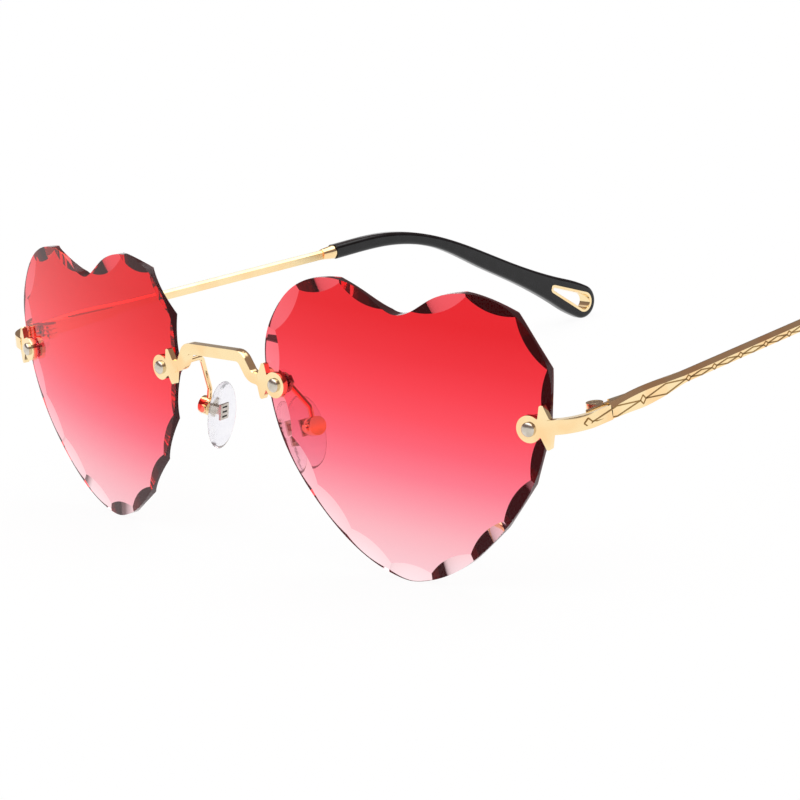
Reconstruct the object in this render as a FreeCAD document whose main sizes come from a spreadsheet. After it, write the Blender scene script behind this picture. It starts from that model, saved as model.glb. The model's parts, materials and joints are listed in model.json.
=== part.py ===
import FreeCAD, Part
import math
import os
import re
from FreeCAD import Placement, Rotation, Vector

# Heart shaped rimless sunglasses, in millimetres and degrees.
# Left and right are the wearer's: the left side is +X, the front faces -Y and +Z is up.
# The glasses stand open on their lens tips and temple tips. The left side is modelled,
# and the right side is its mirror image.

os.makedirs("parts", exist_ok=True)
doc = FreeCAD.newDocument("heart_sunglasses")

# Driving dimensions, kept in the sheet
sizes = {
    # Lens: the heart about its centre, the base curve, and how it stands
    "lens_half_width": 27.7,
    "lobe_height": 23.6,
    "tip_drop": 24.4,
    "lens_thickness": 2.0,
    "lens_curve": 250.0,
    "lens_half_gap": 11.7335,
    "lens_wrap_angle": 8.9,
    "lens_lean_angle": 1.1,
    "lens_cant_angle": 2.9,
    # Ground facets of the rear rim, which leave a plain wall behind the front
    "rim_wall": 0.62,
    "facet_width": 2.3,
    "facet_radius": 21.0,
    "facet_lead": 1.5,
    "notch_margin": 3.6,
    # Clamped lens holes
    "hole_inset": 2.6,
    "bush_radius": 1.0,
    "washer_radius": 1.7,
    "washer_thickness": 0.35,
    "seat_depth": 0.08,
    "screw_radius": 0.7,
    "screw_head_radius": 1.15,
    "screw_head_edge": 0.25,
    "screw_head_dome": 0.55,
    "nut_radius": 1.25,
    "nut_height": 0.9,
    "hole_clearance": 0.05,
    # Metal plates with leaf points, at the bridge and at the endpieces
    "plate_thickness": 1.0,
    "eyelet_radius": 2.15,
    "leaf_span": 3.5,
    "neck_reach": 4.9,
    "bar_height": 2.3,
    "bar_thickness": 1.3,
    # Bridge
    "bridge_plate_angle": 6.5,
    "bridge_leaf_span": 3.05,
    "bridge_height": 1.85,
    "bridge_thickness": 1.5,
    "bridge_knee": 5.75,
    "bridge_rise": 4.15,
    "bridge_shoulder": 7.0,
    "bridge_bend_radius": 1.9,
    # Endpiece
    "endpiece_plate_angle": 10.0,
    "endpiece_reach": 8.5,
    "endpiece_run": 7.5,
    "endpiece_bend_radius": 4.2,
    # Hinge
    "hinge_offset": 2.65,
    "knuckle_radius": 1.35,
    "hinge_height": 2.6,
    "knuckle_gap": 0.05,
    "leaf_gap": 0.15,
    "middle_knuckle": 0.8,
    "endpiece_leaf": 4.2,
    "temple_leaf": 15.0,
    "leaf_root": 2.0,
    "leaf_swell": 1.1,
    "leaf_end": 0.3,
    "leaf_end_height": 1.84,
    "split_gap": 0.1,
    "pivot_radius": 0.5,
    "pivot_clearance": 0.04,
    "pivot_head_radius": 0.9,
    "pivot_head_height": 0.3,
    # Temple bar, its tang and the ferrule
    "temple_angle": 5.4,
    "temple_run": 65.0,
    "temple_rise": 0.9,
    "temple_end_height": 1.75,
    "tang_radius": 0.65,
    "tang_bend_radius": 12.0,
    "tang_angle": 16.0,
    "ferrule_length": 3.0,
    "ferrule_front_radius": 1.05,
    "ferrule_rear_radius": 1.42,
    # Temple tip and its tear-drop ring
    "tip_angle": 1.9,
    "tip_straight": 9.0,
    "tip_bend_radius": 50.0,
    "tip_bend_angle": 28.5,
    "tip_thickness": 3.0,
    "tip_round": 0.9,
    "paddle_radius": 3.7,
    "drop_length": 10.0,
    "drop_wide_radius": 2.25,
    "drop_narrow_radius": 0.95,
    "ring_wall": 0.6,
    "ring_proud": 0.1,
    # Nose pads and what carries them
    "pad_box_side": 14.1,
    "pad_box_back": 5.2,
    "pad_box_height": 21.85,
    "pad_flare_angle": 13.0,
    "pad_splay_angle": 10.0,
    "box_radius": 1.6,
    "box_front": 0.8,
    "box_length": 2.0,
    "stem_height": 1.3,
    "stem_width": 0.9,
    "stem_overhang": 0.75,
    "stem_play": 0.35,
    "pad_screw_radius": 0.4,
    "pad_screw_head_radius": 0.7,
    "pad_screw_head_height": 0.35,
    "pad_gap": 0.9,
    "pad_thickness": 2.4,
    "pad_half_width": 3.5,
    "pad_half_length": 6.3,
    "pad_sink": 0.8,
    "pad_round": 0.8,
    "core_depth": 1.0,
    "core_thickness": 0.5,
    "core_width": 2.0,
    "core_length": 2.8,
    "arm_radius": 0.45,
    "arm_back": 5.0,
    "arm_bend_radius": 1.5,
    "arm_drop": 3.2,
    "arm_seat": 0.5,
    # Overrun of every cutting tool
    "overrun": 1.0,
}
lobe_facets = 4
lower_facets = 9
# Half of the heart from its notch to its tip: shares of the half width, and of the lobe
# height above the centre or of the tip drop below it
heart_shares = (
    (0.0, 0.81), (0.094, 0.84), (0.238, 0.94), (0.426, 1.0), (0.614, 0.985), (0.795, 0.885),
    (0.913, 0.735), (1.0, 0.52), (0.99, 0.19), (0.913, -0.13), (0.776, -0.40), (0.61, -0.62),
    (0.426, -0.805), (0.238, -0.93), (0.094, -0.985), (0.0, -1.0),
)
# The screw holes lie at these shares of the way along the rim from the notch to the tip
hole_shares = {"outer": 0.5075, "inner": 0.496}
# Leaf plate, from the eyelet to the neck: shares of the neck reach and of the leaf span
leaf_shares = ((0.1, 0.34), (0.37, 0.42), (0.5, 0.96), (0.57, 1.0), (0.64, 0.96), (0.78, 0.36))
neck_share = 0.86
spine_start_share = 0.7
arch_start_share = 0.82
arm_foot_share = 0.9
# Temple, from the split to its waist: shares of the run, and of the bar height below and above
temple_shares = ((0.0, -0.44, 0.58), (0.065, -0.485, 0.73), (0.125, -0.545, 0.8),
                 (0.18, -0.475, 0.78), (0.225, -0.36, 0.73), (0.265, -0.2, 0.69), (0.31, -0.1, 0.66))
# Temple tip: shares of its length, and of the way from the ferrule's radius to the paddle's
tip_shares = ((0.0, 0.0), (0.2, -0.03), (0.38, -0.08), (0.56, 0.13), (0.735, 0.26), (0.89, 0.7))

sheet = doc.addObject("Spreadsheet::Sheet", "sizes")
for row, (name, value) in enumerate(sizes.items(), start=1):
    sheet.set("A%d" % row, name)
    sheet.set("B%d" % row, str(value))
    sheet.setAlias("B%d" % row, name)
doc.recompute()

nodes = {}
xAxis, yAxis, zAxis = Vector(1, 0, 0), Vector(0, 1, 0), Vector(0, 0, 1)


def size(name):
    return float(sheet.get(name))


def bind(part, **expressions):
    for prop, text in expressions.items():
        bound = re.sub(r"[a-z_]+", lambda word: "sizes." + word.group(), text)
        part.setExpression(prop, bound)
    return part


def at(frame, x=0.0, y=0.0, z=0.0, turn=Rotation()):
    return frame.multiply(Placement(Vector(x, y, z), turn))


def primitive(kind, name, place, **expressions):
    part = doc.addObject("Part::" + kind, name)
    bind(part, **expressions)
    part.Placement = place
    return part


def cut(name, base, tool):
    part = doc.addObject("Part::Cut", name)
    part.Base, part.Tool = base, tool
    return part


def fuse(name, *shapes):
    part = doc.addObject("Part::MultiFuse", name)
    part.Shapes = list(shapes)
    part.Refine = True
    return part


def ring(name, place, outer, inner, height):
    disc = primitive("Cylinder", name + "_disc", place, Radius=outer, Height=height)
    bore = primitive("Cylinder", name + "_bore", at(place, z=-size("overrun")),
                     Radius=inner, Height=height + " + overrun * 2")
    return cut(name, disc, bore)


def padded(name, place, plane, curves, symmetric, **expressions):
    body = doc.addObject("PartDesign::Body", name + "_body")
    sketch = body.newObject("Sketcher::SketchObject", name + "_sketch")
    support = [f for f in body.Origin.OriginFeatures if f.Role == plane][0]
    sketch.AttachmentSupport = [(support, "")]
    sketch.MapMode = "FlatFace"
    sketch.addGeometry(curves, False)
    pad = body.newObject("PartDesign::Pad", name + "_pad")
    pad.Profile = sketch
    pad.SideType = "Symmetric" if symmetric else "One side"
    bind(pad, **expressions)
    body.Placement = place
    return body


def polygon(points):
    corners = [Vector(x, y, 0) for x, y in points]
    return [Part.LineSegment(a, b) for a, b in zip(corners, corners[1:] + corners[:1])]


def rounded_path(points, radius):
    # Straight runs joined by tangent arcs of one radius
    edges, start = [], points[0]
    for before, corner, after in zip(points, points[1:], points[2:]):
        into = (corner - before).normalize()
        out = (after - corner).normalize()
        half_turn = into.getAngle(out) / 2
        tangent = radius * math.tan(half_turn)
        first, last = corner - into * tangent, corner + out * tangent
        inward = (out - into).normalize()
        middle = corner + inward * (radius / math.cos(half_turn) - radius)
        edges += [Part.LineSegment(start, first).toShape(), Part.Arc(first, middle, last).toShape()]
        start = last
    edges.append(Part.LineSegment(start, points[-1]).toShape())
    return Part.Wire(edges)


def swept(name, path, section):
    spine = doc.addObject("Part::Feature", name + "_spine")
    spine.Shape = path
    part = doc.addObject("Part::Sweep", name)
    part.Sections = [section]
    part.Spine = (spine, [])
    part.Solid = True
    part.Frenet = False
    return part


def across(start, along, up):
    # A frame at a path's start, with Z along the path and Y upwards
    side = up.cross(along).normalize()
    return Placement(start, Rotation(side, along.cross(side), along, "ZXY"))


def bar(name, path, start, along, up, thickness, height):
    frame = across(start, along, up)
    corner = at(frame, -size(thickness) / 2, -size(height) / 2)
    section = primitive("Plane", name + "_section", corner, Length=thickness, Width=height)
    return swept(name, path, section)


def wire(name, path, start, along, radius):
    frame = Placement(start, Rotation(zAxis, along))
    return swept(name, path, primitive("Circle", name + "_section", frame, Radius=radius))


def node(part, label):
    part.Label = label
    nodes[label] = part


def both_sides(part, label):
    node(part, label + "_left")
    twin = doc.addObject("Part::Mirroring", label + "_twin")
    twin.Source = part
    twin.Normal = xAxis
    node(twin, label + "_right")


# The heart outline, as one smooth closed curve in the lens plane
def heart_point(across_share, up_share):
    rise = size("lobe_height") if up_share > 0 else size("tip_drop")
    return Vector(across_share * size("lens_half_width"), up_share * rise, 0)


half_heart = [heart_point(*share) for share in heart_shares]
other_half = [Vector(-p.x, p.y, 0) for p in half_heart[-2:0:-1]]
heart = Part.BSplineCurve()
heart.interpolate(Points=half_heart + other_half, PeriodicFlag=True)
heart_edge = heart.toShape()
heart_half_length = heart_edge.Length / 2


def front_depth(x, z, drop=0.0):
    reach = size("lens_curve") - drop
    return size("lens_curve") - math.sqrt(reach ** 2 - x ** 2 - z ** 2)


def rim(distance):
    # A point of the rim and its outward direction, both in the lens frame
    parameter = heart_edge.getParameterByLength(distance)
    point, tangent = heart_edge.valueAt(parameter), heart_edge.tangentAt(parameter)
    return Vector(point.x, 0, point.y), Vector(-tangent.y, 0, tangent.x)


# Where the left lens stands: turned by its three angles, with its tip on the ground
lens_turn = Rotation(zAxis, size("lens_wrap_angle"))
lens_turn = lens_turn.multiply(Rotation(xAxis, -size("lens_lean_angle")))
lens_turn = lens_turn.multiply(Rotation(yAxis, size("lens_cant_angle")))
rim_steps = 400
lowest = min(
    lens_turn.multVec(Vector(p.x, front_depth(p.x, p.y, size("lens_thickness")), p.y)).z
    for p in heart_edge.discretize(rim_steps)
)
half_spread = size("lens_half_width") * math.cos(math.radians(size("lens_wrap_angle")))
lens_frame = Placement(Vector(size("lens_half_gap") + half_spread, 0, -lowest), lens_turn)


def hole_frame(which, sign):
    # On the lens front at a screw hole: Z along the screw, X towards the plate's neck
    point, outward = rim(heart_half_length * hole_shares[which])
    spot = point - outward * size("hole_inset")
    x, z = sign * spot.x, spot.z
    depth = front_depth(x, z)
    normal = Vector(x, depth - size("lens_curve"), z).normalize()
    towards_neck = xAxis * sign
    return Placement(Vector(x, depth, z), Rotation(towards_neck, yAxis, normal, "ZXY"))


hole_frames = {"outer": hole_frame("outer", 1), "inner": hole_frame("inner", -1)}
plate_bottom = size("washer_thickness") - size("seat_depth")
plate_middle = plate_bottom + size("plate_thickness") / 2
plate_top = plate_bottom + size("plate_thickness")


def plate_frame(which, angle):
    return at(lens_frame.multiply(hole_frames[which]), turn=Rotation(zAxis, angle))


# The endpiece bar turns back at its corner, and the hinge and temple follow from there
endpiece_plate = plate_frame("outer", size("endpiece_plate_angle"))
corner = endpiece_plate.multVec(Vector(size("endpiece_reach"), 0, plate_middle))
temple_turn = Rotation(zAxis, size("temple_angle"))
temple_axis = temple_turn.multVec(yAxis)
split = corner + temple_axis * size("endpiece_run")
hinge_base = split - temple_turn.multVec(Vector(size("hinge_offset"), -size("split_gap") / 2, 0))
tip_front = size("temple_run") + size("ferrule_length")
bend_angle = math.radians(size("tip_bend_angle"))
bend_fall = size("tip_bend_radius") * (1 - math.cos(bend_angle))
paddle_fall = size("temple_rise") - bend_fall + hinge_base.z - size("paddle_radius")
tip_end_run = paddle_fall / math.sin(bend_angle)
tip_length = size("tip_straight") + size("tip_bend_radius") * bend_angle + tip_end_run


def tip_point(distance):
    # A point along the temple tip's middle line and its downward angle there
    bend = min(max(distance - size("tip_straight"), 0) / size("tip_bend_radius"), bend_angle)
    rest = max(distance - size("tip_straight") - size("tip_bend_radius") * bend_angle, 0)
    run = min(distance, size("tip_straight")) + size("tip_bend_radius") * math.sin(bend)
    fall = size("tip_bend_radius") * (1 - math.cos(bend))
    run, fall = run + rest * math.cos(bend), fall + rest * math.sin(bend)
    return Vector(run, -fall, 0), bend


# The part's origin is under the middle of the whole, between the screw heads and the tips
head_height = plate_top + size("screw_head_edge") + size("screw_head_dome")
front_reach = plate_frame("inner", 0).multVec(Vector(0, 0, head_height)).y
tip_turn = Rotation(zAxis, size("tip_angle"))
tip_base = hinge_base + temple_turn.multVec(
    Vector(size("hinge_offset"), tip_front, size("temple_rise")))
tip_reach = tip_point(tip_length)[0].x + size("paddle_radius")
rear_reach = (tip_base + tip_turn.multVec(yAxis * tip_reach)).y
shift = Vector(0, -(front_reach + rear_reach) / 2, 0)
lens_frame.Base = lens_frame.Base + shift
endpiece_plate.Base = endpiece_plate.Base + shift
corner, split = corner + shift, split + shift
hinge = Placement(hinge_base + shift, temple_turn)
tip_frame = Placement(tip_base + shift, tip_turn)
datum = Placement(shift, Rotation())


# Lens: a heart cut from a curved shell, with facets ground on its rear rim, and drilled
def build_lens():
    blank = padded("lens", Placement(), "XZ_Plane", [heart], True, Length="lens_half_width")
    centre = Placement(Vector(0, size("lens_curve"), 0), Rotation())
    outside = primitive("Sphere", "lens_front", centre, Radius="lens_curve")
    inside = primitive("Sphere", "lens_back", centre, Radius="lens_curve - lens_thickness")
    lens = doc.addObject("Part::Common", "lens_shell")
    lens.Base, lens.Tool = blank, cut("lens_curved_sheet", outside, inside)
    outer = heart_half_length * hole_shares["outer"]
    inner = heart_half_length * (2 - hole_shares["inner"])
    margin = size("notch_margin")
    runs = ((margin, outer, lobe_facets), (outer, inner, lower_facets),
            (inner, heart_half_length * 2 - margin, lobe_facets))
    middles = [first + (last - first) * (i + 0.5) / count
               for first, last, count in runs for i in range(count)]
    rise = size("lens_thickness") - size("rim_wall")
    wheels = []
    for i, middle in enumerate(middles):
        point, outward = rim(middle)
        point.y = front_depth(point.x, point.z)
        back = (Vector(0, size("lens_curve"), 0) - point).normalize()
        outward = (outward - back * outward.dot(back)).normalize()
        along = (outward * size("facet_width") - back * rise).normalize()
        away = (outward * rise + back * size("facet_width")).normalize()
        start = point + back * size("rim_wall") - along * (size("facet_width") + size("facet_lead"))
        place = Placement(start + away * size("facet_radius"), Rotation(zAxis, along))
        wheels.append(primitive("Cylinder", "facet_wheel_%d" % i, place, Radius="facet_radius",
                                Height="facet_width + facet_lead * 2"))
    # The two wheels beside the notch each keep to their own lobe
    half = size("lens_half_width")
    for i, left in ((0, 0), (-1, -half * 2)):
        place = Placement(Vector(left, -half, -half), Rotation())
        lobe = primitive("Box", wheels[i].Name + "_lobe", place, Length="lens_half_width * 2",
                         Width="lens_half_width * 2", Height="lens_half_width * 2")
        kept = doc.addObject("Part::Common", wheels[i].Name + "_kept")
        kept.Base, kept.Tool = wheels[i], lobe
        wheels[i] = kept
    lens = cut("lens_ground", lens, fuse("facet_wheels", *wheels))
    for which, frame in hole_frames.items():
        seat_radius = "washer_radius + hole_clearance"
        through = at(frame, z=-size("lens_thickness") - size("overrun"))
        rear_seat = at(frame, z=-size("lens_thickness") + size("seat_depth") - size("overrun"))
        drills = fuse(
            "lens_drills_" + which,
            primitive("Cylinder", "lens_hole_" + which, through, Radius="bush_radius",
                      Height="lens_thickness + overrun * 2"),
            primitive("Cylinder", "lens_front_seat_" + which, at(frame, z=-size("seat_depth")),
                      Radius=seat_radius, Height="overrun"),
            primitive("Cylinder", "lens_rear_seat_" + which, rear_seat,
                      Radius=seat_radius, Height="overrun"),
        )
        lens = cut("lens_drilled_" + which, lens, drills)
    lens.Placement = lens_frame
    both_sides(lens, "lens")


# The clamp at each hole, from the domed head in front to the nut behind
def build_clamp(which):
    frame = lens_frame.multiply(hole_frames[which])
    front_seat, rear_seat = -size("seat_depth"), size("seat_depth") - size("lens_thickness")
    bore = "screw_radius + hole_clearance"
    front_washer = ring("front_washer_" + which, at(frame, z=front_seat),
                        "washer_radius", bore, "washer_thickness")
    rear_washer = ring("rear_washer_" + which, at(frame, z=rear_seat - size("washer_thickness")),
                       "washer_radius", bore, "washer_thickness")
    bush = ring("hole_bush_" + which, at(frame, z=rear_seat),
                "bush_radius", bore, "lens_thickness - seat_depth * 2")
    nut_base = rear_seat - size("washer_thickness") - size("nut_height")
    prism = primitive("Prism", "nut_prism_" + which, at(frame, z=nut_base),
                      Circumradius="nut_radius", Height="nut_height")
    thread = primitive("Cylinder", "nut_thread_" + which, at(frame, z=nut_base - size("overrun")),
                       Radius="screw_radius", Height="nut_height + overrun * 2")
    shank = primitive(
        "Cylinder", "screw_shank_" + which, at(frame, z=nut_base), Radius="screw_radius",
        Height="nut_height + lens_thickness + washer_thickness * 2 + plate_thickness - seat_depth * 2")
    head = primitive("Cylinder", "screw_head_" + which, at(frame, z=plate_top),
                     Radius="screw_head_radius", Height="screw_head_edge")
    dome = primitive("Ellipsoid", "screw_dome_" + which, at(frame, z=plate_top + size("screw_head_edge")),
                     Radius1="screw_head_dome", Radius2="screw_head_radius", Radius3="screw_head_radius")
    dome.Angle1 = 0
    both_sides(fuse("screw_" + which, shank, head, dome), "lens_screw_" + which)
    both_sides(cut("nut_" + which, prism, thread), "lens_nut_" + which)
    both_sides(front_washer, "front_washer_" + which)
    both_sides(rear_washer, "rear_washer_" + which)
    both_sides(bush, "hole_bush_" + which)


# A leaf plate: the eyelet round the screw, two leaf points and the start of a bar
def leaf_plate(name, frame, span, height):
    seat = at(frame, z=plate_bottom)
    upper = [(x * size("neck_reach"), y * size(span)) for x, y in leaf_shares]
    upper += [(neck_share * size("neck_reach"), size(height) / 2),
              (size("neck_reach"), size(height) / 2)]
    outline = polygon(upper + [(x, -y) for x, y in reversed(upper)])
    leaf = padded(name + "_leaf", seat, "XY_Plane", outline, False, Length="plate_thickness")
    eyelet = primitive("Cylinder", name + "_eyelet", seat, Radius="eyelet_radius",
                       Height="plate_thickness")
    hole = primitive("Cylinder", name + "_hole", at(seat, z=-size("overrun")),
                     Radius="screw_radius + hole_clearance", Height="plate_thickness + overrun * 2")
    return [leaf, eyelet], hole


# Bridge: two leaf plates joined by a flat bar with a knee and a shoulder at each side
bridge_plate = plate_frame("inner", -size("bridge_plate_angle"))
arch_middle = plate_top - size("bridge_thickness") / 2
foot = bridge_plate.multVec(Vector(size("neck_reach") * arch_start_share, 0, arch_middle))
knee = bridge_plate.multVec(Vector(size("bridge_knee"), 0, arch_middle))
screw_height = bridge_plate.Base.z
shoulder = Vector(size("bridge_shoulder"), knee.y, screw_height + size("bridge_rise"))


def build_bridge():
    left_side = [foot, knee, shoulder]
    points = left_side + [Vector(-p.x, p.y, p.z) for p in reversed(left_side)]
    path = rounded_path(points, size("bridge_bend_radius"))
    along = (knee - foot).normalize()
    arch = bar("bridge_arch", path, foot, along, along.cross(yAxis), "bridge_thickness", "bridge_height")
    plates, hole = leaf_plate("bridge", bridge_plate, "bridge_leaf_span", "bridge_height")
    mirrored = []
    for part in plates + [hole]:
        twin = doc.addObject("Part::Mirroring", part.Name + "_twin")
        twin.Source = part
        twin.Normal = xAxis
        mirrored.append(twin)
    whole = fuse("bridge_whole", arch, *plates, *mirrored[:-1])
    node(cut("bridge_drilled", cut("bridge_half_drilled", whole, hole), mirrored[-1]), "bridge")


# Endpiece: a leaf plate whose bar bends back to the hinge
def build_endpiece():
    start = endpiece_plate.multVec(Vector(size("neck_reach") * spine_start_share, 0, plate_middle))
    end = split - temple_axis * size("split_gap")
    path = rounded_path([start, corner, end], size("endpiece_bend_radius"))
    along = (corner - start).normalize()
    arm = bar("endpiece_bar", path, start, along, zAxis, "bar_thickness", "bar_height")
    plates, hole = leaf_plate("endpiece", endpiece_plate, "leaf_span", "bar_height")
    both_sides(cut("endpiece_drilled", fuse("endpiece_whole", arm, *plates), hole), "endpiece")


# Hinge: two knuckles on the endpiece's leaf, one on the temple's, and the screw through them
def build_hinge():
    leaf_face = size("knuckle_radius") + size("leaf_gap")
    leaf_depth = "hinge_offset - bar_thickness / 2 - knuckle_radius - leaf_gap"
    half_height = size("hinge_height") / 2
    middle_half = size("middle_knuckle") / 2
    outer_knuckle = "(hinge_height - middle_knuckle) / 2 - knuckle_gap"
    knuckles = []
    for name, base in (("lower", -half_height), ("upper", middle_half + size("knuckle_gap"))):
        knuckles.append(primitive("Cylinder", "knuckle_" + name, at(hinge, z=base),
                                  Radius="knuckle_radius", Height=outer_knuckle))
        knuckles.append(primitive("Box", "knuckle_tab_" + name,
                                  at(hinge, y=-size("knuckle_radius"), z=base),
                                  Length="hinge_offset - bar_thickness / 2",
                                  Width="knuckle_radius - split_gap / 2", Height=outer_knuckle))
    leaf = primitive("Box", "endpiece_leaf",
                     at(hinge, leaf_face, -size("endpiece_leaf") - size("split_gap") / 2, -half_height),
                     Length=leaf_depth, Width="endpiece_leaf", Height="hinge_height")
    pivot = primitive("Cylinder", "pivot_hole", at(hinge, z=-half_height - size("overrun")),
                      Radius="pivot_radius", Height="hinge_height + overrun * 2")
    recess = primitive("Cylinder", "pivot_recess", at(hinge, z=half_height - size("pivot_head_height")),
                       Radius="pivot_head_radius", Height="pivot_head_height + overrun")
    fixed = cut("endpiece_hinge_seated", fuse("endpiece_hinge_whole", leaf, *knuckles),
                nodes["endpiece_left"])
    both_sides(cut("endpiece_hinge_drilled", fixed, fuse("pivot_tools", pivot, recess)),
               "endpiece_hinge")

    middle = primitive("Cylinder", "knuckle_middle", at(hinge, z=-middle_half),
                       Radius="knuckle_radius", Height="middle_knuckle")
    tab = primitive("Box", "knuckle_tab_middle", at(hinge, y=size("split_gap") / 2, z=-middle_half),
                    Length="hinge_offset - bar_thickness / 2",
                    Width="knuckle_radius - split_gap / 2", Height="middle_knuckle")
    temple_leaf = primitive("Box", "temple_leaf_root",
                            at(hinge, leaf_face, size("split_gap") / 2, -half_height),
                            Length=leaf_depth, Width="leaf_root", Height="hinge_height")
    swell = primitive("Wedge", "temple_leaf_swell", at(hinge),
                      Xmin="hinge_offset - bar_thickness / 2 - leaf_swell",
                      Xmax="hinge_offset - bar_thickness / 2",
                      X2min="hinge_offset - bar_thickness / 2 - leaf_end",
                      X2max="hinge_offset - bar_thickness / 2",
                      Ymin="leaf_root", Ymax="temple_leaf",
                      Zmin="0 - hinge_height / 2", Zmax="hinge_height / 2",
                      Z2min="0 - leaf_end_height / 2", Z2max="leaf_end_height / 2")
    running = primitive("Cylinder", "pivot_running_hole", at(hinge, z=-half_height),
                        Radius="pivot_radius + pivot_clearance", Height="hinge_height")
    moving = fuse("temple_hinge_whole", middle, tab, temple_leaf, swell)
    both_sides(cut("temple_hinge_drilled", moving, running), "temple_hinge")

    shank = primitive("Cylinder", "hinge_screw_shank", at(hinge, z=-half_height),
                      Radius="pivot_radius", Height="hinge_height")
    head = primitive("Cylinder", "hinge_screw_head", at(hinge, z=half_height - size("pivot_head_height")),
                     Radius="pivot_head_radius", Height="pivot_head_height")
    both_sides(fuse("hinge_screw_whole", shank, head), "hinge_screw")


# Temple: a tapered flat bar whose wire tang runs on into the tip
def tang_path(start):
    def spot(distance):
        point = tip_point(distance)[0]
        return tip_frame.multVec(Vector(0, point.x, point.y))

    begin = hinge.multVec(Vector(size("hinge_offset"), start, size("temple_rise")))
    bend_length = size("tip_bend_radius") * math.radians(size("tang_angle"))
    first, last = spot(size("tip_straight")), spot(size("tip_straight") + bend_length)
    middle = spot(size("tip_straight") + bend_length / 2)
    edges = rounded_path([begin, spot(0), first], size("tang_bend_radius")).Edges
    return Part.Wire(edges + [Part.Arc(first, middle, last).toShape()]), begin


def temple_outline():
    # Lower and upper edges: a curve round the leaf to the waist, then straight to the ferrule
    edges, ends = {}, {}
    start = size("split_gap") / 2
    for side, column in ((-1, 1), (1, 2)):
        points = [Vector(start + share[0] * size("temple_run"), share[column] * size("bar_height"), 0)
                  for share in temple_shares]
        end_height = size("temple_rise") + side * size("temple_end_height") / 2
        ends[side] = Vector(size("temple_run"), end_height, 0)
        curve = Part.BSplineCurve()
        curve.interpolate(Points=points, InitialTangent=points[1] - points[0],
                          FinalTangent=ends[side] - points[-1])
        edges[side] = [curve, Part.LineSegment(points[-1], ends[side])]
    front = Part.LineSegment(edges[1][0].StartPoint, edges[-1][0].StartPoint)
    return edges[-1] + [Part.LineSegment(ends[-1], ends[1])] + edges[1] + [front]


def build_temple():
    middle = at(hinge, size("hinge_offset"))
    flat = padded("temple_bar", middle, "YZ_Plane", temple_outline(), True, Length="bar_thickness")
    path, begin = tang_path(size("temple_run") - size("overrun"))
    tang = wire("temple_tang", path, begin, temple_axis, "tang_radius")
    both_sides(fuse("temple_whole", flat, tang), "temple")


def tang_bore(name, start):
    path, begin = tang_path(start)
    return wire(name, path, begin, temple_axis, "tang_radius")


def build_ferrule():
    front = at(hinge, size("hinge_offset"), size("temple_run"), size("temple_rise"),
               Rotation(xAxis, -90))
    cone = primitive("Cone", "ferrule_cone", front, Radius1="ferrule_front_radius",
                     Radius2="ferrule_rear_radius", Height="ferrule_length")
    bore = tang_bore("ferrule_bore", size("temple_run") - size("overrun"))
    both_sides(cut("ferrule_bored", cone, bore), "ferrule")


# Temple tip: a bent paddle with rounded edges, pierced by a tear-drop that a ring lines
paddle_middle, paddle_angle = tip_point(tip_length)
paddle_along = Vector(math.cos(paddle_angle), -math.sin(paddle_angle), 0)
paddle_up = Vector(math.sin(paddle_angle), math.cos(paddle_angle), 0)


def tip_outline():
    edges = {}
    for side in (1, -1):
        points = []
        for length_share, swell_share in tip_shares:
            point, bend = tip_point(tip_length * length_share)
            swell = size("paddle_radius") - size("ferrule_rear_radius")
            half = size("ferrule_rear_radius") + swell_share * swell
            points.append(point + Vector(math.sin(bend), math.cos(bend), 0) * half * side)
        points.append(paddle_middle + paddle_up * size("paddle_radius") * side)
        edges[side] = Part.BSplineCurve()
        edges[side].interpolate(Points=points, InitialTangent=xAxis, FinalTangent=paddle_along)
    end = [paddle_middle + paddle_up * size("paddle_radius"),
           paddle_middle + paddle_along * size("paddle_radius"),
           paddle_middle - paddle_up * size("paddle_radius")]
    start = Part.LineSegment(edges[-1].StartPoint, edges[1].StartPoint)
    return [edges[1], Part.Arc(*end), edges[-1], start]


def tear_drop(name, inset, **expressions):
    wide, narrow = size("drop_wide_radius") - inset, size("drop_narrow_radius") - inset
    towards = paddle_along * -1
    far = paddle_middle + towards * size("drop_length")
    lean = math.acos((wide - narrow) / size("drop_length"))
    upper = towards * math.cos(lean) + paddle_up * math.sin(lean)
    lower = towards * math.cos(lean) - paddle_up * math.sin(lean)
    curves = [
        Part.Arc(paddle_middle + upper * wide, paddle_middle - towards * wide,
                 paddle_middle + lower * wide),
        Part.LineSegment(paddle_middle + lower * wide, far + lower * narrow),
        Part.Arc(far + lower * narrow, far + towards * narrow, far + upper * narrow),
        Part.LineSegment(far + upper * narrow, paddle_middle + upper * wide),
    ]
    return padded(name, tip_frame, "YZ_Plane", curves, True, **expressions)


def build_tip():
    body = padded("tip", tip_frame, "YZ_Plane", tip_outline(), True, Length="tip_thickness")
    doc.recompute()
    pad = body.Tip
    long_edges = []
    for i, edge in enumerate(pad.Shape.Edges, start=1):
        box = edge.BoundBox
        if box.XLength < size("tip_round") and box.YMax > size("tip_straight"):
            long_edges.append("Edge%d" % i)
    fillet = body.newObject("PartDesign::Fillet", "tip_fillet")
    fillet.Base = (pad, long_edges)
    bind(fillet, Radius="tip_round")
    body.Tip = fillet
    pierced = cut("tip_pierced", body, tear_drop("tip_drop", 0, Length="tip_thickness * 2"))
    bored = cut("tip_bored", pierced, tang_bore("tip_bore", tip_front - size("overrun")))
    both_sides(cut("tip_seated", bored, nodes["ferrule_left"]), "temple_tip")
    liner = tear_drop("ring_outer", 0, Length="tip_thickness + ring_proud * 2")
    opening = tear_drop("ring_inner", size("ring_wall"), Length="tip_thickness * 2")
    both_sides(cut("ring_pierced", liner, opening), "tip_ring")


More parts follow.
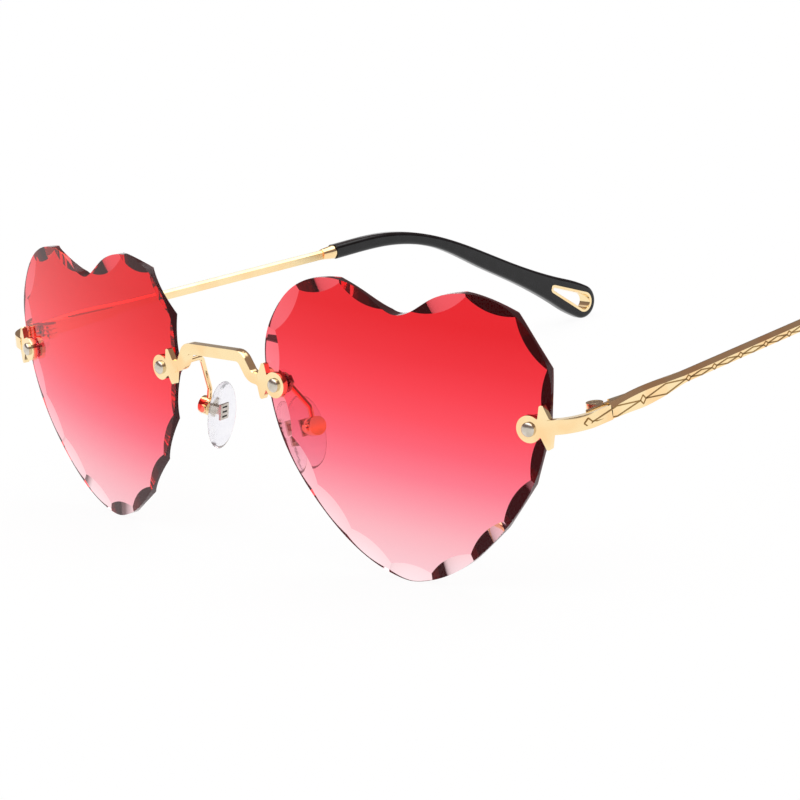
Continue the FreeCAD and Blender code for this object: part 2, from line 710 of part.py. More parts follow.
# Nose pad: its frame is at the pad screw, X outwards, Y along the screw, Z up the pad
pad_turn = Rotation(zAxis, -size("pad_splay_angle")).multiply(Rotation(yAxis, -size("pad_flare_angle")))
pad_place = Vector(size("pad_box_side"), size("pad_box_back"), size("pad_box_height"))
pad_frame = datum.multiply(Placement(pad_place, pad_turn))
along_x, along_y = Rotation(yAxis, 90), Rotation(xAxis, -90)


def build_pad_arm():
    start = shoulder + (foot - shoulder) * arm_foot_share
    end = pad_frame.multVec(Vector(0, 0, size("box_radius") - size("arm_seat")))
    above = pad_frame.multVec(Vector(0, 0, size("arm_drop")))
    points = [start, start + yAxis * size("arm_back"), above, end]
    path = rounded_path(points, size("arm_bend_radius"))
    whole = wire("pad_arm_wire", path, start, yAxis, "arm_radius")
    both_sides(cut("pad_arm_seated", whole, nodes["bridge"]), "pad_arm")


def build_pad():
    stem_half, width_half = size("stem_height") / 2, size("stem_width") / 2
    box_start = at(pad_frame, x=-size("box_front"), turn=along_x)
    button = primitive("Cylinder", "box_button", box_start, Radius="box_radius", Height="box_length")
    slot = primitive(
        "Box", "box_slot",
        at(pad_frame, -size("box_front") - size("overrun"), -width_half - size("hole_clearance"),
           -stem_half - size("stem_play")),
        Length="box_front + overrun + stem_overhang + hole_clearance * 4",
        Width="stem_width + hole_clearance * 2", Height="stem_height + stem_play * 2")
    screw_hole = primitive("Cylinder", "box_screw_hole",
                           at(pad_frame, y=-size("box_radius") - size("overrun"), turn=along_y),
                           Radius="pad_screw_radius", Height="box_radius * 2 + overrun * 2")
    arm_seat = primitive("Cylinder", "box_arm_seat",
                         at(pad_frame, z=size("box_radius") - size("arm_seat")),
                         Radius="arm_radius", Height="arm_seat + overrun")
    both_sides(cut("pad_box_cut", button, fuse("box_tools", slot, screw_hole, arm_seat)), "pad_box")

    shank = primitive("Cylinder", "pad_screw_shank",
                      at(pad_frame, y=-size("box_radius"), turn=along_y),
                      Radius="pad_screw_radius", Height="box_radius * 2")
    head = primitive("Cylinder", "pad_screw_head",
                     at(pad_frame, y=-size("box_radius") - size("pad_screw_head_height"), turn=along_y),
                     Radius="pad_screw_head_radius", Height="pad_screw_head_height")
    both_sides(fuse("pad_screw_whole", shank, head), "pad_screw")

    pad_back = -size("box_front") - size("pad_gap")
    core_back = pad_back - size("core_depth")
    stem = primitive("Box", "core_stem", at(pad_frame, core_back, -width_half, -stem_half),
                     Length="box_front + pad_gap + core_depth + stem_overhang",
                     Width="stem_width", Height="stem_height")
    leaf = primitive("Box", "core_leaf",
                     at(pad_frame, core_back - size("core_thickness"), -size("core_width") / 2,
                        -size("core_length") / 2),
                     Length="core_thickness", Width="core_width", Height="core_length")
    eye = primitive("Cylinder", "core_eye", at(pad_frame, y=-size("overrun"), turn=along_y),
                    Radius="pad_screw_radius + hole_clearance", Height="overrun * 2")
    core = cut("core_drilled", fuse("core_whole", stem, leaf), eye)
    both_sides(core, "pad_core")

    oval = Part.Ellipse(Vector(0, size("pad_half_length"), 0), Vector(size("pad_half_width"), 0, 0),
                        Vector(0, 0, 0))
    centre = at(pad_frame, pad_back - size("pad_thickness"), 0, -size("pad_sink"))
    body = padded("pad", centre, "YZ_Plane", [oval], False, Length="pad_thickness")
    doc.recompute()
    pad = body.Tip
    rims = [i for i, edge in enumerate(pad.Shape.Edges, start=1) if edge.isClosed()]
    fillet = body.newObject("PartDesign::Fillet", "pad_fillet")
    fillet.Base = (pad, ["Edge%d" % i for i in rims])
    bind(fillet, Radius="pad_round")
    body.Tip = fillet
    both_sides(cut("pad_moulded", body, core), "nose_pad")


build_lens()
for hole in hole_frames:
    build_clamp(hole)
build_bridge()
build_endpiece()
build_hinge()
build_temple()
build_ferrule()
build_tip()
build_pad_arm()
build_pad()
doc.recompute()

failed = [o.Name for o in doc.Objects if "Invalid" in o.State or "Error" in o.State]
if failed:
    raise RuntimeError("features failed: " + ", ".join(failed))
for label, part in nodes.items():
    shape = part.Shape
    if shape.isNull() or not shape.isValid() or len(shape.Solids) != 1:
        raise RuntimeError("%s is not one valid solid" % label)
for label, part in nodes.items():
    part.Shape.exportStep("parts/%s.step" % label)
print("wrote", len(nodes), "nodes")
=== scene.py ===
import json
import math

import bmesh
import bpy
from mathutils import Matrix, Vector


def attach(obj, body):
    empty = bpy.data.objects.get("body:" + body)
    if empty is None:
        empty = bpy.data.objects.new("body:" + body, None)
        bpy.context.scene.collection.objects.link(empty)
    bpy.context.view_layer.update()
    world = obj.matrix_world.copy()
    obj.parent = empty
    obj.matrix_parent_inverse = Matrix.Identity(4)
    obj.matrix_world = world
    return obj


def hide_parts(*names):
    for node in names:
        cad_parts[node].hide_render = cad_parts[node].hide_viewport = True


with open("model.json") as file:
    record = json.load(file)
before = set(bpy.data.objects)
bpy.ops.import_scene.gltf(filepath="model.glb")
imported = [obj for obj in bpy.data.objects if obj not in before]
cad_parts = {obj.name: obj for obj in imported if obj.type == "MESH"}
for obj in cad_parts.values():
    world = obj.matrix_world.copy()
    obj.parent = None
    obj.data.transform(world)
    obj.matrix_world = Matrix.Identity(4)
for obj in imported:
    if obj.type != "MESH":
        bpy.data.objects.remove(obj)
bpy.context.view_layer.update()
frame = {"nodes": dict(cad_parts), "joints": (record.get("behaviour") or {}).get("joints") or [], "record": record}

# Heart shaped rimless sunglasses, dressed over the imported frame. Metres, +Z up, the front faces -Y.
# Left and right are the wearer's, and the right side is the mirror image of the left.
mm = 0.001
scene = bpy.context.scene
scene.view_settings.view_transform = "Standard"
sides = {"left": 1, "right": -1}
print("frame:", len(frame["nodes"]), "nodes")


def turned(axis, degrees):
    return Matrix.Rotation(math.radians(degrees), 4, axis)


# Where things stand on the left side, as in the part
pivots = {joint["name"]: Vector(joint["pos_m"]) for joint in frame["joints"]}
lensPlace = Matrix.Translation(Vector((39.1, -74.8686, 24.43)) * mm)
lensPlace = lensPlace @ turned("Z", 8.9) @ turned("X", -1.1) @ turned("Y", 2.9)
hingePlace = Matrix.Translation(pivots["left_temple_fold"]) @ turned("Z", 5.4)
padPlace = Matrix.Translation(pivots["left_pad_rock"]) @ turned("Z", -10) @ turned("Y", -13)
mirrorX = Matrix.Scale(-1, 4, Vector((1, 0, 0)))


# Materials

def hexColour(text):
    channels = [int(text[i:i + 2], 16) / 255 for i in (0, 2, 4)]
    linear = [c / 12.92 if c <= 0.04045 else ((c + 0.055) / 1.055) ** 2.4 for c in channels]
    return (*linear, 1.0)


def addNode(tree, kind, settings=None, links=None):
    made = tree.nodes.new("ShaderNode" + kind)
    for name, value in (settings or {}).items():
        if name in made.inputs:
            made.inputs[name].default_value = value
        else:
            setattr(made, name, value)
    for name, source in (links or {}).items():
        tree.links.new(source, made.inputs[name])
    return made


def startMaterial(name):
    material = bpy.data.materials.new(name)
    material.use_nodes = True
    material.node_tree.nodes.clear()
    return material, material.node_tree


def endMaterial(tree, shader):
    addNode(tree, "OutputMaterial", links={"Surface": shader.outputs[0]})


def fillRamp(ramp, stops):
    elements = ramp.color_ramp.elements
    while len(elements) < len(stops):
        elements.new(0.5)
    for element, (place, colour) in zip(elements, stops):
        element.position = place
        element.color = colour if len(colour) == 4 else (*colour, 1.0)


# Dip-tinted polycarbonate: polished, red at the brow and nearly clear at the tip, and paler where the
# facets are ground through the dye. The coat keeps reflections down, and dye in the body darkens light
# that runs sideways through the lens
tint = {
    "height": 48.0 * mm,
    "tilt": 0.10,
    "stops": ((0.04, "ffdae2"), (0.167, "ffc3cd"), (0.271, "ffa6b5"), (0.371, "ff869a"), (0.473, "ff6b7f"),
              (0.573, "ff5767"), (0.675, "fb4755"), (0.771, "f33944"), (0.90, "ea2b33")),
    "groundStops": ((0.04, "ffffff"), (0.45, "fff0f2"), (0.95, "ffc0c6")),
    # the right lens, the far one from the camera, takes a deeper copy of the same tint: painted shade
    "paintedLensShade": {"left": 1.0, "right": 1.22},
    "middle": 39.1 * mm,
    "ior": 1.58,
    "coat": "404040",
    "dye": "fa7c7c",
    "dyeDensity": 80.0,
    # painted glow: a faint dark-red emission on the ground facets and wall, which lifts their black shade to a
    # dark red
    "paintedFacetGlow": "391b1d",
}


def lensMaterial(side, sign):
    material, tree = startMaterial("tinted_polycarbonate_" + side)
    place = addNode(tree, "TexCoord")
    tilted = addNode(tree, "VectorMath", {"operation": "DOT_PRODUCT"}, {0: place.outputs["Object"]})
    tilted.inputs[1].default_value = (tint["tilt"], 0, 1)
    low = sign * tint["middle"] * tint["tilt"]
    share = addNode(tree, "MapRange", {"From Min": low, "From Max": low + tint["height"]},
                    {"Value": tilted.outputs["Value"]})
    dyed = addNode(tree, "ValToRGB", links={"Fac": share.outputs["Result"]})
    fillRamp(dyed, [(at, hexColour(colour)) for at, colour in tint["stops"]])
    # gamma above 1 deepens the right lens's tint: painted shade
    deep = addNode(tree, "Gamma", {"Gamma": tint["paintedLensShade"][side]}, {"Color": dyed.outputs["Color"]})
    cutThrough = addNode(tree, "ValToRGB", links={"Fac": share.outputs["Result"]})
    fillRamp(cutThrough, [(at, hexColour(colour)) for at, colour in tint["groundStops"]])
    ground = addNode(tree, "Attribute", {"attribute_name": "ground"})
    colour = addNode(tree, "MixRGB", links={"Fac": ground.outputs["Fac"], "Color1": deep.outputs["Color"],
                                            "Color2": cutThrough.outputs["Color"]})
    # the ground facets glow faintly though they are no lamp: painted glow
    glow = addNode(tree, "MixRGB", {"Color1": hexColour("000000"), "Color2": hexColour(tint["paintedFacetGlow"])},
                   {"Fac": ground.outputs["Fac"]})
    shader = addNode(tree, "BsdfPrincipled",
                     {"IOR": tint["ior"], "Roughness": 0.0, "Transmission Weight": 1.0,
                      "Specular Tint": hexColour(tint["coat"]), "Emission Strength": 1.0},
                     {"Base Color": colour.outputs["Color"], "Emission Color": glow.outputs["Color"]})
    dye = addNode(tree, "VolumeAbsorption", {"Color": hexColour(tint["dye"]), "Density": tint["dyeDensity"]})
    addNode(tree, "OutputMaterial", links={"Surface": shader.outputs[0], "Volume": dye.outputs[0]})
    return material


# Gold-plated nickel silver: a warm mirror with the faint waviness of barrel polishing. In the engraved
# lines it is rougher and painted a darker brown: painted shade in the grooves
gold = {
    "plain": {"colour": "ffe6b4", "deep": "ffd9a2", "roughness": (0.07, 0.13)},
    "recessShade": {"colour": "a5824f", "deep": "8a683c", "roughness": (0.25, 0.40)},
    "waves": 6.0 * mm,
    "bump": 0.01,
}


def goldMaterial(name, look):
    material, tree = startMaterial(name)
    place = addNode(tree, "TexCoord")
    waves = addNode(tree, "TexNoise", {"Scale": 1 / gold["waves"], "Detail": 2.0},
                    {"Vector": place.outputs["Object"]})
    ramp = addNode(tree, "ValToRGB", links={"Fac": waves.outputs["Fac"]})
    fillRamp(ramp, [(0.35, hexColour(look["deep"])), (0.55, hexColour(look["colour"]))])
    rough = addNode(tree, "MapRange", {"To Min": look["roughness"][0], "To Max": look["roughness"][1]},
                    {"Value": waves.outputs["Fac"]})
    bump = addNode(tree, "Bump", {"Strength": gold["bump"], "Distance": 0.1 * mm},
                   {"Height": waves.outputs["Fac"]})
    shader = addNode(tree, "BsdfPrincipled", {"Metallic": 1.0},
                     {"Base Color": ramp.outputs["Color"], "Roughness": rough.outputs["Result"],
                      "Normal": bump.outputs["Normal"]})
    endMaterial(tree, shader)
    return material


goldPlate = goldMaterial("gold_plated_metal", gold["plain"])
recessShadeGold = goldMaterial("gold_plate_painted_recess_shade", gold["recessShade"])


# Nickel-plated steel of the screws and nuts: cold and bright, turned on a lathe. It is painted darker
# and is rougher in the slots punched through the pad cores: painted shade in the slots
steel = {
    "plain": {"colour": "ddd6ca", "deep": "c9c0b2", "roughness": (0.20, 0.30)},
    "recessShade": {"colour": "6b6660", "deep": "544f4a", "roughness": (0.35, 0.50)},
    "marks": 1.2 * mm,
}


def steelMaterial(name, look):
    material, tree = startMaterial(name)
    place = addNode(tree, "TexCoord")
    marks = addNode(tree, "TexNoise", {"Scale": 1 / steel["marks"], "Detail": 1.0},
                    {"Vector": place.outputs["Object"]})
    ramp = addNode(tree, "ValToRGB", links={"Fac": marks.outputs["Fac"]})
    fillRamp(ramp, [(0.3, hexColour(look["deep"])), (0.6, hexColour(look["colour"]))])
    rough = addNode(tree, "MapRange", {"To Min": look["roughness"][0], "To Max": look["roughness"][1]},
                    {"Value": marks.outputs["Fac"]})
    shader = addNode(tree, "BsdfPrincipled", {"Metallic": 1.0},
                     {"Base Color": ramp.outputs["Color"], "Roughness": rough.outputs["Result"]})
    endMaterial(tree, shader)
    return material


nickelSteel = steelMaterial("nickel_plated_steel", steel["plain"])
recessShadeSteel = steelMaterial("steel_painted_recess_shade", steel["recessShade"])


# Clear plastics: soft moulded silicone for the pads, nylon for washers and bushes
def clearMaterial(name, colour, deep, ior, roughness, grain):
    material, tree = startMaterial(name)
    place = addNode(tree, "TexCoord")
    cloud = addNode(tree, "TexNoise", {"Scale": 1 / grain, "Detail": 2.0},
                    {"Vector": place.outputs["Object"]})
    ramp = addNode(tree, "ValToRGB", links={"Fac": cloud.outputs["Fac"]})
    fillRamp(ramp, [(0.3, hexColour(deep)), (0.7, hexColour(colour))])
    rough = addNode(tree, "MapRange", {"To Min": roughness[0], "To Max": roughness[1]},
                    {"Value": cloud.outputs["Fac"]})
    shader = addNode(tree, "BsdfPrincipled", {"IOR": ior, "Transmission Weight": 1.0},
                     {"Base Color": ramp.outputs["Color"], "Roughness": rough.outputs["Result"]})
    endMaterial(tree, shader)
    return material


clearSilicone = clearMaterial("clear_silicone", "fcfbfe", "f3f2f8", 1.30, (0.10, 0.22), 1.5 * mm)
clearNylon = clearMaterial("clear_nylon", "fafafa", "ececec", 1.53, (0.10, 0.25), 0.6 * mm)


# Black acetate: tumbled to a deep gloss, with a very faint orange-peel
acetate = {"colour": "0c0c0d", "pale": "17171a", "peel": 2.5 * mm, "roughness": (0.07, 0.14), "bump": 0.03}


def acetateMaterial():
    material, tree = startMaterial("black_acetate")
    place = addNode(tree, "TexCoord")
    peel = addNode(tree, "TexNoise", {"Scale": 1 / acetate["peel"], "Detail": 1.0},
                   {"Vector": place.outputs["Object"]})
    ramp = addNode(tree, "ValToRGB", links={"Fac": peel.outputs["Fac"]})
    fillRamp(ramp, [(0.35, hexColour(acetate["colour"])), (0.75, hexColour(acetate["pale"]))])
    rough = addNode(tree, "MapRange", {"To Min": acetate["roughness"][0], "To Max": acetate["roughness"][1]},
                    {"Value": peel.outputs["Fac"]})
    bump = addNode(tree, "Bump", {"Strength": acetate["bump"], "Distance": 0.2 * mm},
                   {"Height": peel.outputs["Fac"]})
    shader = addNode(tree, "BsdfPrincipled", {"IOR": 1.48, "Specular IOR Level": 0.4},
                     {"Base Color": ramp.outputs["Color"], "Roughness": rough.outputs["Result"],
                      "Normal": bump.outputs["Normal"]})
    endMaterial(tree, shader)
    return material


blackAcetate = acetateMaterial()
print("materials:", len(bpy.data.materials))


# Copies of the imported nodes, merged and with their edges broken

def mergedCopy(nodeName):
    mesh = bmesh.new()
    mesh.from_mesh(frame["nodes"][nodeName].data)
    bmesh.ops.remove_doubles(mesh, verts=mesh.verts, dist=0.002 * mm)
    return mesh


def shadeByAngle(mesh, sharpDegrees):
    for face in mesh.faces:
        face.smooth = True
    for edge in mesh.edges:
        edge.smooth = edge.calc_face_angle(math.pi) < math.radians(sharpDegrees)


def bodyOf(nodeName):
    for body, members in frame["record"]["behaviour"]["bodies"].items():
        if nodeName in members:
            return body


def finishPiece(mesh, name, body, materials, replaced):
    data = bpy.data.meshes.new(name)
    mesh.to_mesh(data)
    mesh.free()
    piece = bpy.data.objects.new(name, data)
    scene.collection.objects.link(piece)
    for material in materials:
        data.materials.append(material)
    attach(piece, body)
    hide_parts(*replaced)
    return piece


def breakEdges(mesh, width, steepDegrees, segments=2):
    steep = [e for e in mesh.edges if e.is_manifold and e.calc_face_angle(0) > math.radians(steepDegrees)]
    bmesh.ops.bevel(mesh, geom=steep, offset=width, offset_type="OFFSET", affect="EDGES",
                    segments=segments, profile=0.5, material=-1, clamp_overlap=True)


def weighNormals(piece):
    weigh = piece.modifiers.new("weigh_normals", "WEIGHTED_NORMAL")
    weigh.keep_sharp = True


# Lenses: the imported shape, with its ground facets and wall marked for the paler tint and for the painted glow
lens = {"curve": 250 * mm, "sharp": 8.0, "facetDot": 0.985}


def makeLens(side, sign):
    place = lensPlace if sign > 0 else mirrorX @ lensPlace
    centre = place @ Vector((0, lens["curve"], 0))
    mesh = mergedCopy("lens_" + side)
    ground = mesh.faces.layers.float.new("ground")
    for face in mesh.faces:
        radial = (centre - face.calc_center_median()).normalized()
        face[ground] = 0 if abs(face.normal.dot(radial)) > lens["facetDot"] else 1
    shadeByAngle(mesh, lens["sharp"])
    return finishPiece(mesh, "heart_lens_" + side, "front",
                       [lensMaterial(side, sign)], ["lens_" + side])


for side, sign in sides.items():
    makeLens(side, sign)
print("lenses done")


# Engraving on the outer faces of temples and endpieces: a chain of lozenges with small diamonds
engraving = {
    "knots": (-5.65, 7.88, 20.04, 27.17, 34.6, 41.94, 48.87, 55.8),
    "spread": 0.84,
    "diamond": (0.72, 0.70),
    "diamondShare": 0.92,
    "lineWidth": 0.22,
    "lineDepth": 0.08,
    "face": 3.30,
    "bendStart": -4.0,
    "bendRadius": 4.85,
    # along the bar: the flat's lower and upper edge
    "flat": ((-9.0, -1.30, 1.00), (0.05, -1.01, 0.80), (4.28, -1.12, 1.04), (8.18, -1.25, 1.20),
             (11.75, -1.09, 1.15), (14.68, -0.83, 1.04), (17.28, -0.46, 0.95), (20.2, -0.20, 0.77),
             (65.0, 0.055, 1.025)),
}


def flatAt(along):
    for before, after in zip(engraving["flat"], engraving["flat"][1:]):
        if along <= after[0]:
            share = (along - before[0]) / (after[0] - before[0])
            return [a + (b - a) * share for a, b in zip(before[1:], after[1:])]


def facePoint(along, share):
    low, high = flatAt(along)
    bend = max(engraving["bendStart"] - along, 0) ** 2 / (2 * engraving["bendRadius"])
    up = (low + high) / 2 + share * (high - low) / 2
    return Vector((engraving["face"] - bend, along, up)) * mm


def engravedLines():
    lines = []
    wide, tall = engraving["diamond"]
    for knot, after in zip(engraving["knots"], engraving["knots"][1:]):
        middle = (knot + after) / 2
        for share in (engraving["spread"], -engraving["spread"]):
            lines.append(((knot + wide, 0), (middle, share)))
            lines.append(((middle, share), (after - wide, 0)))
    for knot in engraving["knots"]:
        low, high = flatAt(knot)
        share = min(tall / (high - low) * 2, engraving["diamondShare"])
        corners = [(knot - wide, 0), (knot, share), (knot + wide, 0), (knot, -share)]
        lines += list(zip(corners, corners[1:] + corners[:1]))
    return lines


# The bar's two upper edges are chamfered, the outer one more
chamfer = {"outer": 0.64, "inner": 0.40, "ridge": 2.53, "end": 64.0}


def chamferTop(mesh, place):
    outward = (place.to_3x3() @ Vector((1, 0, 0))).normalized()
    inside = [vert for vert in mesh.verts if all(face.normal.z > 0.8 for face in vert.link_faces)]
    for vert in inside:
        local = place.inverted() @ vert.co
        if local.y < chamfer["end"] * mm:
            local.x = chamfer["ridge"] * mm
            vert.co = place @ local
    bmesh.ops.remove_doubles(mesh, verts=inside, dist=0.001 * mm)
    for facing, width in ((outward, chamfer["outer"]), (-outward, chamfer["inner"])):
        edges = []
        for edge in mesh.edges:
            beside = any(face.normal.dot(facing) > 0.98 for face in edge.link_faces)
            above = any(face.normal.z > 0.8 for face in edge.link_faces)
            if beside and above:
                edges.append(edge)
        bmesh.ops.bevel(mesh, geom=edges, offset=width * mm, offset_type="OFFSET", affect="EDGES",
                        segments=1, profile=0.5, material=-1, clamp_overlap=False)


# Splits a line where the bar bends, and keeps what lies on one piece
def linePieces(first, last, low, high):
    first, last = Vector(first), Vector(last)
    shares = [(stop - first.x) / (last.x - first.x) for stop in (low, engraving["bendStart"], high)]
    stops = [0] + sorted(share for share in shares if 0 < share < 1) + [1]
    for start, end in zip(stops, stops[1:]):
        if low < first.lerp(last, (start + end) / 2).x < high:
            yield first.lerp(last, start), first.lerp(last, end)


def addLines(mesh, place, low, high):
    made = set()
    for line in engravedLines():
        for first, last in linePieces(*line, low, high):
            start, end = facePoint(*first), facePoint(*last)
            run = end - start
            aim = run.to_track_quat("Y", "X").to_matrix().to_4x4()
            size = (engraving["lineWidth"] * mm, run.length, engraving["lineDepth"] * mm, 1)
            matrix = place @ Matrix.Translation((start + end) / 2) @ aim @ Matrix.Diagonal(size)
            for vert in bmesh.ops.create_cube(mesh, size=1, matrix=matrix)["verts"]:
                made.update(vert.link_faces)
    # the engraved lines take the darker gold of slot 1: painted shade in the grooves
    for face in made:
        face.material_index = 1
    bmesh.ops.recalc_face_normals(mesh, faces=list(made))


# Cuts a tool out of a piece. The tool's own finishes show where it has cut
def carve(piece, tool, finishes):
    bmesh.ops.recalc_face_normals(tool, faces=tool.faces)
    data = bpy.data.meshes.new("graver")
    tool.to_mesh(data)
    tool.free()
    for finish in finishes:
        data.materials.append(finish)
    graver = bpy.data.objects.new("graver", data)
    scene.collection.objects.link(graver)
    cut = piece.modifiers.new("carve", "BOOLEAN")
    cut.operation, cut.solver, cut.use_self = "DIFFERENCE", "EXACT", True
    cut.material_mode = "TRANSFER"
    cut.object = graver
    bpy.context.view_layer.update()
    carved = bpy.data.meshes.new_from_object(piece.evaluated_get(bpy.context.evaluated_depsgraph_get()))
    piece.modifiers.remove(cut)
    old, piece.data = piece.data, carved
    carved.name = piece.name
    bpy.data.meshes.remove(old)
    bpy.data.objects.remove(graver)
    # the cut's own faces are flat, so that they don't bend the light on the faces beside them
    mesh = bmesh.new()
    mesh.from_mesh(carved)
    for face in mesh.faces:
        if face.material_index:
            face.smooth = False
            for edge in face.edges:
                edge.smooth = False
    mesh.to_mesh(carved)
    mesh.free()


metalParts = {"edge": 0.12, "flat": 0.4, "steep": 35.0, "sharp": 50.0}


def metalMesh(nodeName, edge=None, chamferPlace=None):
    mesh = mergedCopy(nodeName)
    bmesh.ops.dissolve_limit(mesh, angle_limit=math.radians(metalParts["flat"]), verts=mesh.verts[:],
                             edges=mesh.edges[:])
    if chamferPlace:
        chamferTop(mesh, chamferPlace)
    breakEdges(mesh, (edge or metalParts["edge"]) * mm, metalParts["steep"])
    return mesh


def makeMetal(nodeName, name, material, edge=None):
    mesh = metalMesh(nodeName, edge)
    shadeByAngle(mesh, metalParts["sharp"])
    return finishPiece(mesh, name, bodyOf(nodeName), [material], [nodeName])


for side, sign in sides.items():
    place = hingePlace if sign > 0 else mirrorX @ hingePlace
    for nodeName, chamferPlace, low, high in (("temple_", place, 0.12, 60), ("endpiece_", None, -9, -0.03)):
        mesh = metalMesh(nodeName + side, chamferPlace=chamferPlace)
        addLines(mesh, place, low, high)
        shadeByAngle(mesh, metalParts["sharp"])
        weighNormals(finishPiece(mesh, "gold_" + nodeName + side, bodyOf(nodeName + side),
                                 [goldPlate, recessShadeGold], [nodeName + side]))
print("temples and endpieces done")

weighNormals(makeMetal("bridge", "gold_bridge", goldPlate))
for side in sides:
    for nodeName in ("endpiece_hinge_", "temple_hinge_", "ferrule_", "tip_ring_"):
        weighNormals(makeMetal(nodeName + side, "gold_" + nodeName + side, goldPlate, 0.08))
    weighNormals(makeMetal("pad_box_" + side, "gold_pad_box_" + side, goldPlate, 0.25))
    for nodeName in ("hinge_screw_", "pad_screw_"):
        weighNormals(makeMetal(nodeName + side, "gold_" + nodeName + side, goldPlate, 0.06))
print("small metal done")


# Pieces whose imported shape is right: a merged, smoothly shaded copy
def makeSmooth(nodeName, name, material, sharp=35.0):
    mesh = mergedCopy(nodeName)
    shadeByAngle(mesh, sharp)
    return finishPiece(mesh, name, bodyOf(nodeName), [material], [nodeName])


for side in sides:
    makeSmooth("pad_arm_" + side, "gold_pad_arm_" + side, goldPlate)
    makeSmooth("temple_tip_" + side, "black_temple_tip_" + side, blackAcetate)
    for where in ("inner_", "outer_"):
        makeSmooth("lens_screw_" + where + side, "steel_lens_screw_" + where + side, nickelSteel)
        makeSmooth("lens_nut_" + where + side, "steel_lens_nut_" + where + side, nickelSteel)
        for nodeName in ("front_washer_", "rear_washer_", "hole_bush_"):
            makeSmooth(nodeName + where + side, "nylon_" + nodeName + where + side, clearNylon)
print("smooth copies done")


# Pad cores: a small plate with three slots that the silicone grips
core = {"face": -3.2, "deep": 0.7, "slot": (1.2, 0.34), "pitch": 0.85}


def makeCore(side, sign):
    place = padPlace if sign > 0 else mirrorX @ padPlace
    piece = makeSmooth("pad_core_" + side, "steel_pad_core_" + side, nickelSteel)
    tool = bmesh.new()
    wide, tall = core["slot"]
    for i in (-1, 0, 1):
        spot = Matrix.Translation(Vector((core["face"], 0, i * core["pitch"])) * mm)
        box = Matrix.Diagonal((core["deep"] * mm, wide * mm, tall * mm, 1))
        bmesh.ops.create_cube(tool, size=1, matrix=place @ spot @ box)
    # the slots take the darker steel: painted shade in the slots
    carve(piece, tool, [recessShadeSteel])


for side, sign in sides.items():
    makeCore(side, sign)
print("pad cores done")


# Nose pads: a moulded cushion with a crowned face, turned as a round and drawn out to an oval
pad = {
    "half": (3.5, 6.3),
    "centre": (-2.9, 0, -0.8),
    "profile": ((1.05, 0.0), (1.05, 0.34), (0.98, 0.40), (0.98, 0.52), (0.86, 0.58), (0.80, 0.74),
                (0.55, 0.90), (0.15, 0.985), (-0.3, 0.985), (-0.75, 0.88), (-1.0, 0.68), (-1.15, 0.36),
                (-1.2, 0.0)),
    "steps": 64,
}


def makePad(side, sign):
    mesh = bmesh.new()
    points = [mesh.verts.new((x, 0, r)) for x, r in pad["profile"]]
    lines = [mesh.edges.new(pair) for pair in zip(points, points[1:])]
    bmesh.ops.spin(mesh, geom=points + lines, cent=(0, 0, 0), axis=(1, 0, 0), angle=math.tau,
                   steps=pad["steps"], use_merge=True, use_duplicate=False)
    bmesh.ops.remove_doubles(mesh, verts=mesh.verts, dist=1e-5)
    wide, tall = pad["half"]
    place = padPlace if sign > 0 else mirrorX @ padPlace
    place = place @ Matrix.Scale(mm, 4) @ Matrix.Translation(pad["centre"])
    bmesh.ops.transform(mesh, matrix=place @ Matrix.Diagonal((1, wide, tall, 1)), verts=mesh.verts)
    bmesh.ops.recalc_face_normals(mesh, faces=mesh.faces)
    shadeByAngle(mesh, 60)
    piece = finishPiece(mesh, "silicone_nose_pad_" + side, side + "_pad",
                        [clearSilicone], ["nose_pad_" + side])
    smooth = piece.modifiers.new("smooth", "SUBSURF")
    smooth.levels = smooth.render_levels = 1


for side, sign in sides.items():
    makePad(side, sign)
print("nose pads done")


# Floor, light and camera
studio = {
    "floor": 3.0,
    "glow": 0.94,
    "haze": (1.0, 1.0, 1.0),
    "wall": (0.18, 0.15, 0.15),
    "upperWall": (0.30, 0.22, 0.21),
    "roof": (2.2, 2.2, 2.2),
    # heights on the sky at which the haze ends, the wall begins and ends, and the roof begins
    "bands": (0.12, 0.20, 0.68, 0.82),
}


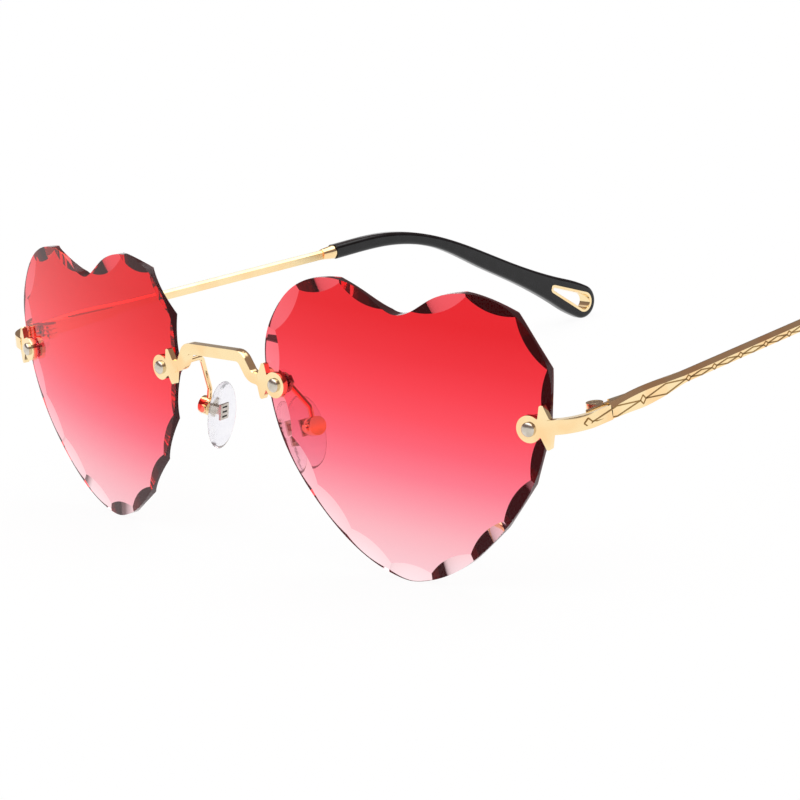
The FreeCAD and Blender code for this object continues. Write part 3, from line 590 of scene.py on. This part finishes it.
def makeFloor():
    mesh = bmesh.new()
    bmesh.ops.create_grid(mesh, x_segments=1, y_segments=1, size=studio["floor"])
    data = bpy.data.meshes.new("floor")
    mesh.to_mesh(data)
    mesh.free()
    floor = bpy.data.objects.new("floor", data)
    scene.collection.objects.link(floor)
    material, tree = startMaterial("white_paper")
    path = addNode(tree, "LightPath")
    seen = addNode(tree, "Math", {"operation": "ADD"})
    tree.links.new(path.outputs["Is Camera Ray"], seen.inputs[0])
    tree.links.new(path.outputs["Is Glossy Ray"], seen.inputs[1])
    seenToo = addNode(tree, "Math", {"operation": "ADD"})
    tree.links.new(seen.outputs[0], seenToo.inputs[0])
    tree.links.new(path.outputs["Is Transmission Ray"], seenToo.inputs[1])
    share = addNode(tree, "MapRange", {"To Max": studio["glow"]}, {"Value": seenToo.outputs[0]})
    plain = addNode(tree, "BsdfDiffuse", {"Color": hexColour("f6f6f6")})
    glow = addNode(tree, "Emission", {"Color": (1, 1, 1, 1), "Strength": 1.0})
    both = addNode(tree, "MixShader", links={"Fac": share.outputs["Result"]})
    tree.links.new(plain.outputs[0], both.inputs[1])
    tree.links.new(glow.outputs[0], both.inputs[2])
    endMaterial(tree, both)
    data.materials.append(material)


def lightStudio():
    world = bpy.data.worlds.new("studio")
    scene.world = world
    world.use_nodes = True
    tree = world.node_tree
    tree.nodes.clear()
    place = addNode(tree, "TexCoord")
    split = addNode(tree, "SeparateXYZ", links={"Vector": place.outputs["Generated"]})
    ramp = addNode(tree, "ValToRGB", links={"Fac": split.outputs["Z"]})
    bandColours = [studio[part] for part in ("haze", "wall", "upperWall", "roof")]
    fillRamp(ramp, list(zip(studio["bands"], bandColours)))
    back = addNode(tree, "Background", {"Strength": 1.0}, {"Color": ramp.outputs["Color"]})
    addNode(tree, "OutputWorld", links={"Surface": back.outputs[0]})


cameraView = {
    "eye": (338.31, -346.70, 132.13),
    "azimuth": 47.633, "elevation": 14.169, "roll": -6.086, "focal": 2676.06 / 800 * 36,
}


def placeCamera():
    data = bpy.data.cameras.new("camera")
    camera = bpy.data.objects.new("camera", data)
    scene.collection.objects.link(camera)
    scene.camera = camera
    data.sensor_width = 36
    data.lens = cameraView["focal"]
    data.clip_start, data.clip_end = 0.01, 20
    az, el, roll = (math.radians(cameraView[k]) for k in ("azimuth", "elevation", "roll"))
    back = Vector((math.sin(az) * math.cos(el), -math.cos(az) * math.cos(el), math.sin(el)))
    right = Vector((math.cos(az), math.sin(az), 0))
    up = back.cross(right)
    right, up = (right * math.cos(roll) + up * math.sin(roll), up * math.cos(roll) - right * math.sin(roll))
    turn = Matrix((right, up, back)).transposed().to_4x4()
    camera.matrix_world = Matrix.Translation(Vector(cameraView["eye"]) * mm) @ turn


makeFloor()
lightStudio()
placeCamera()
print("studio done")
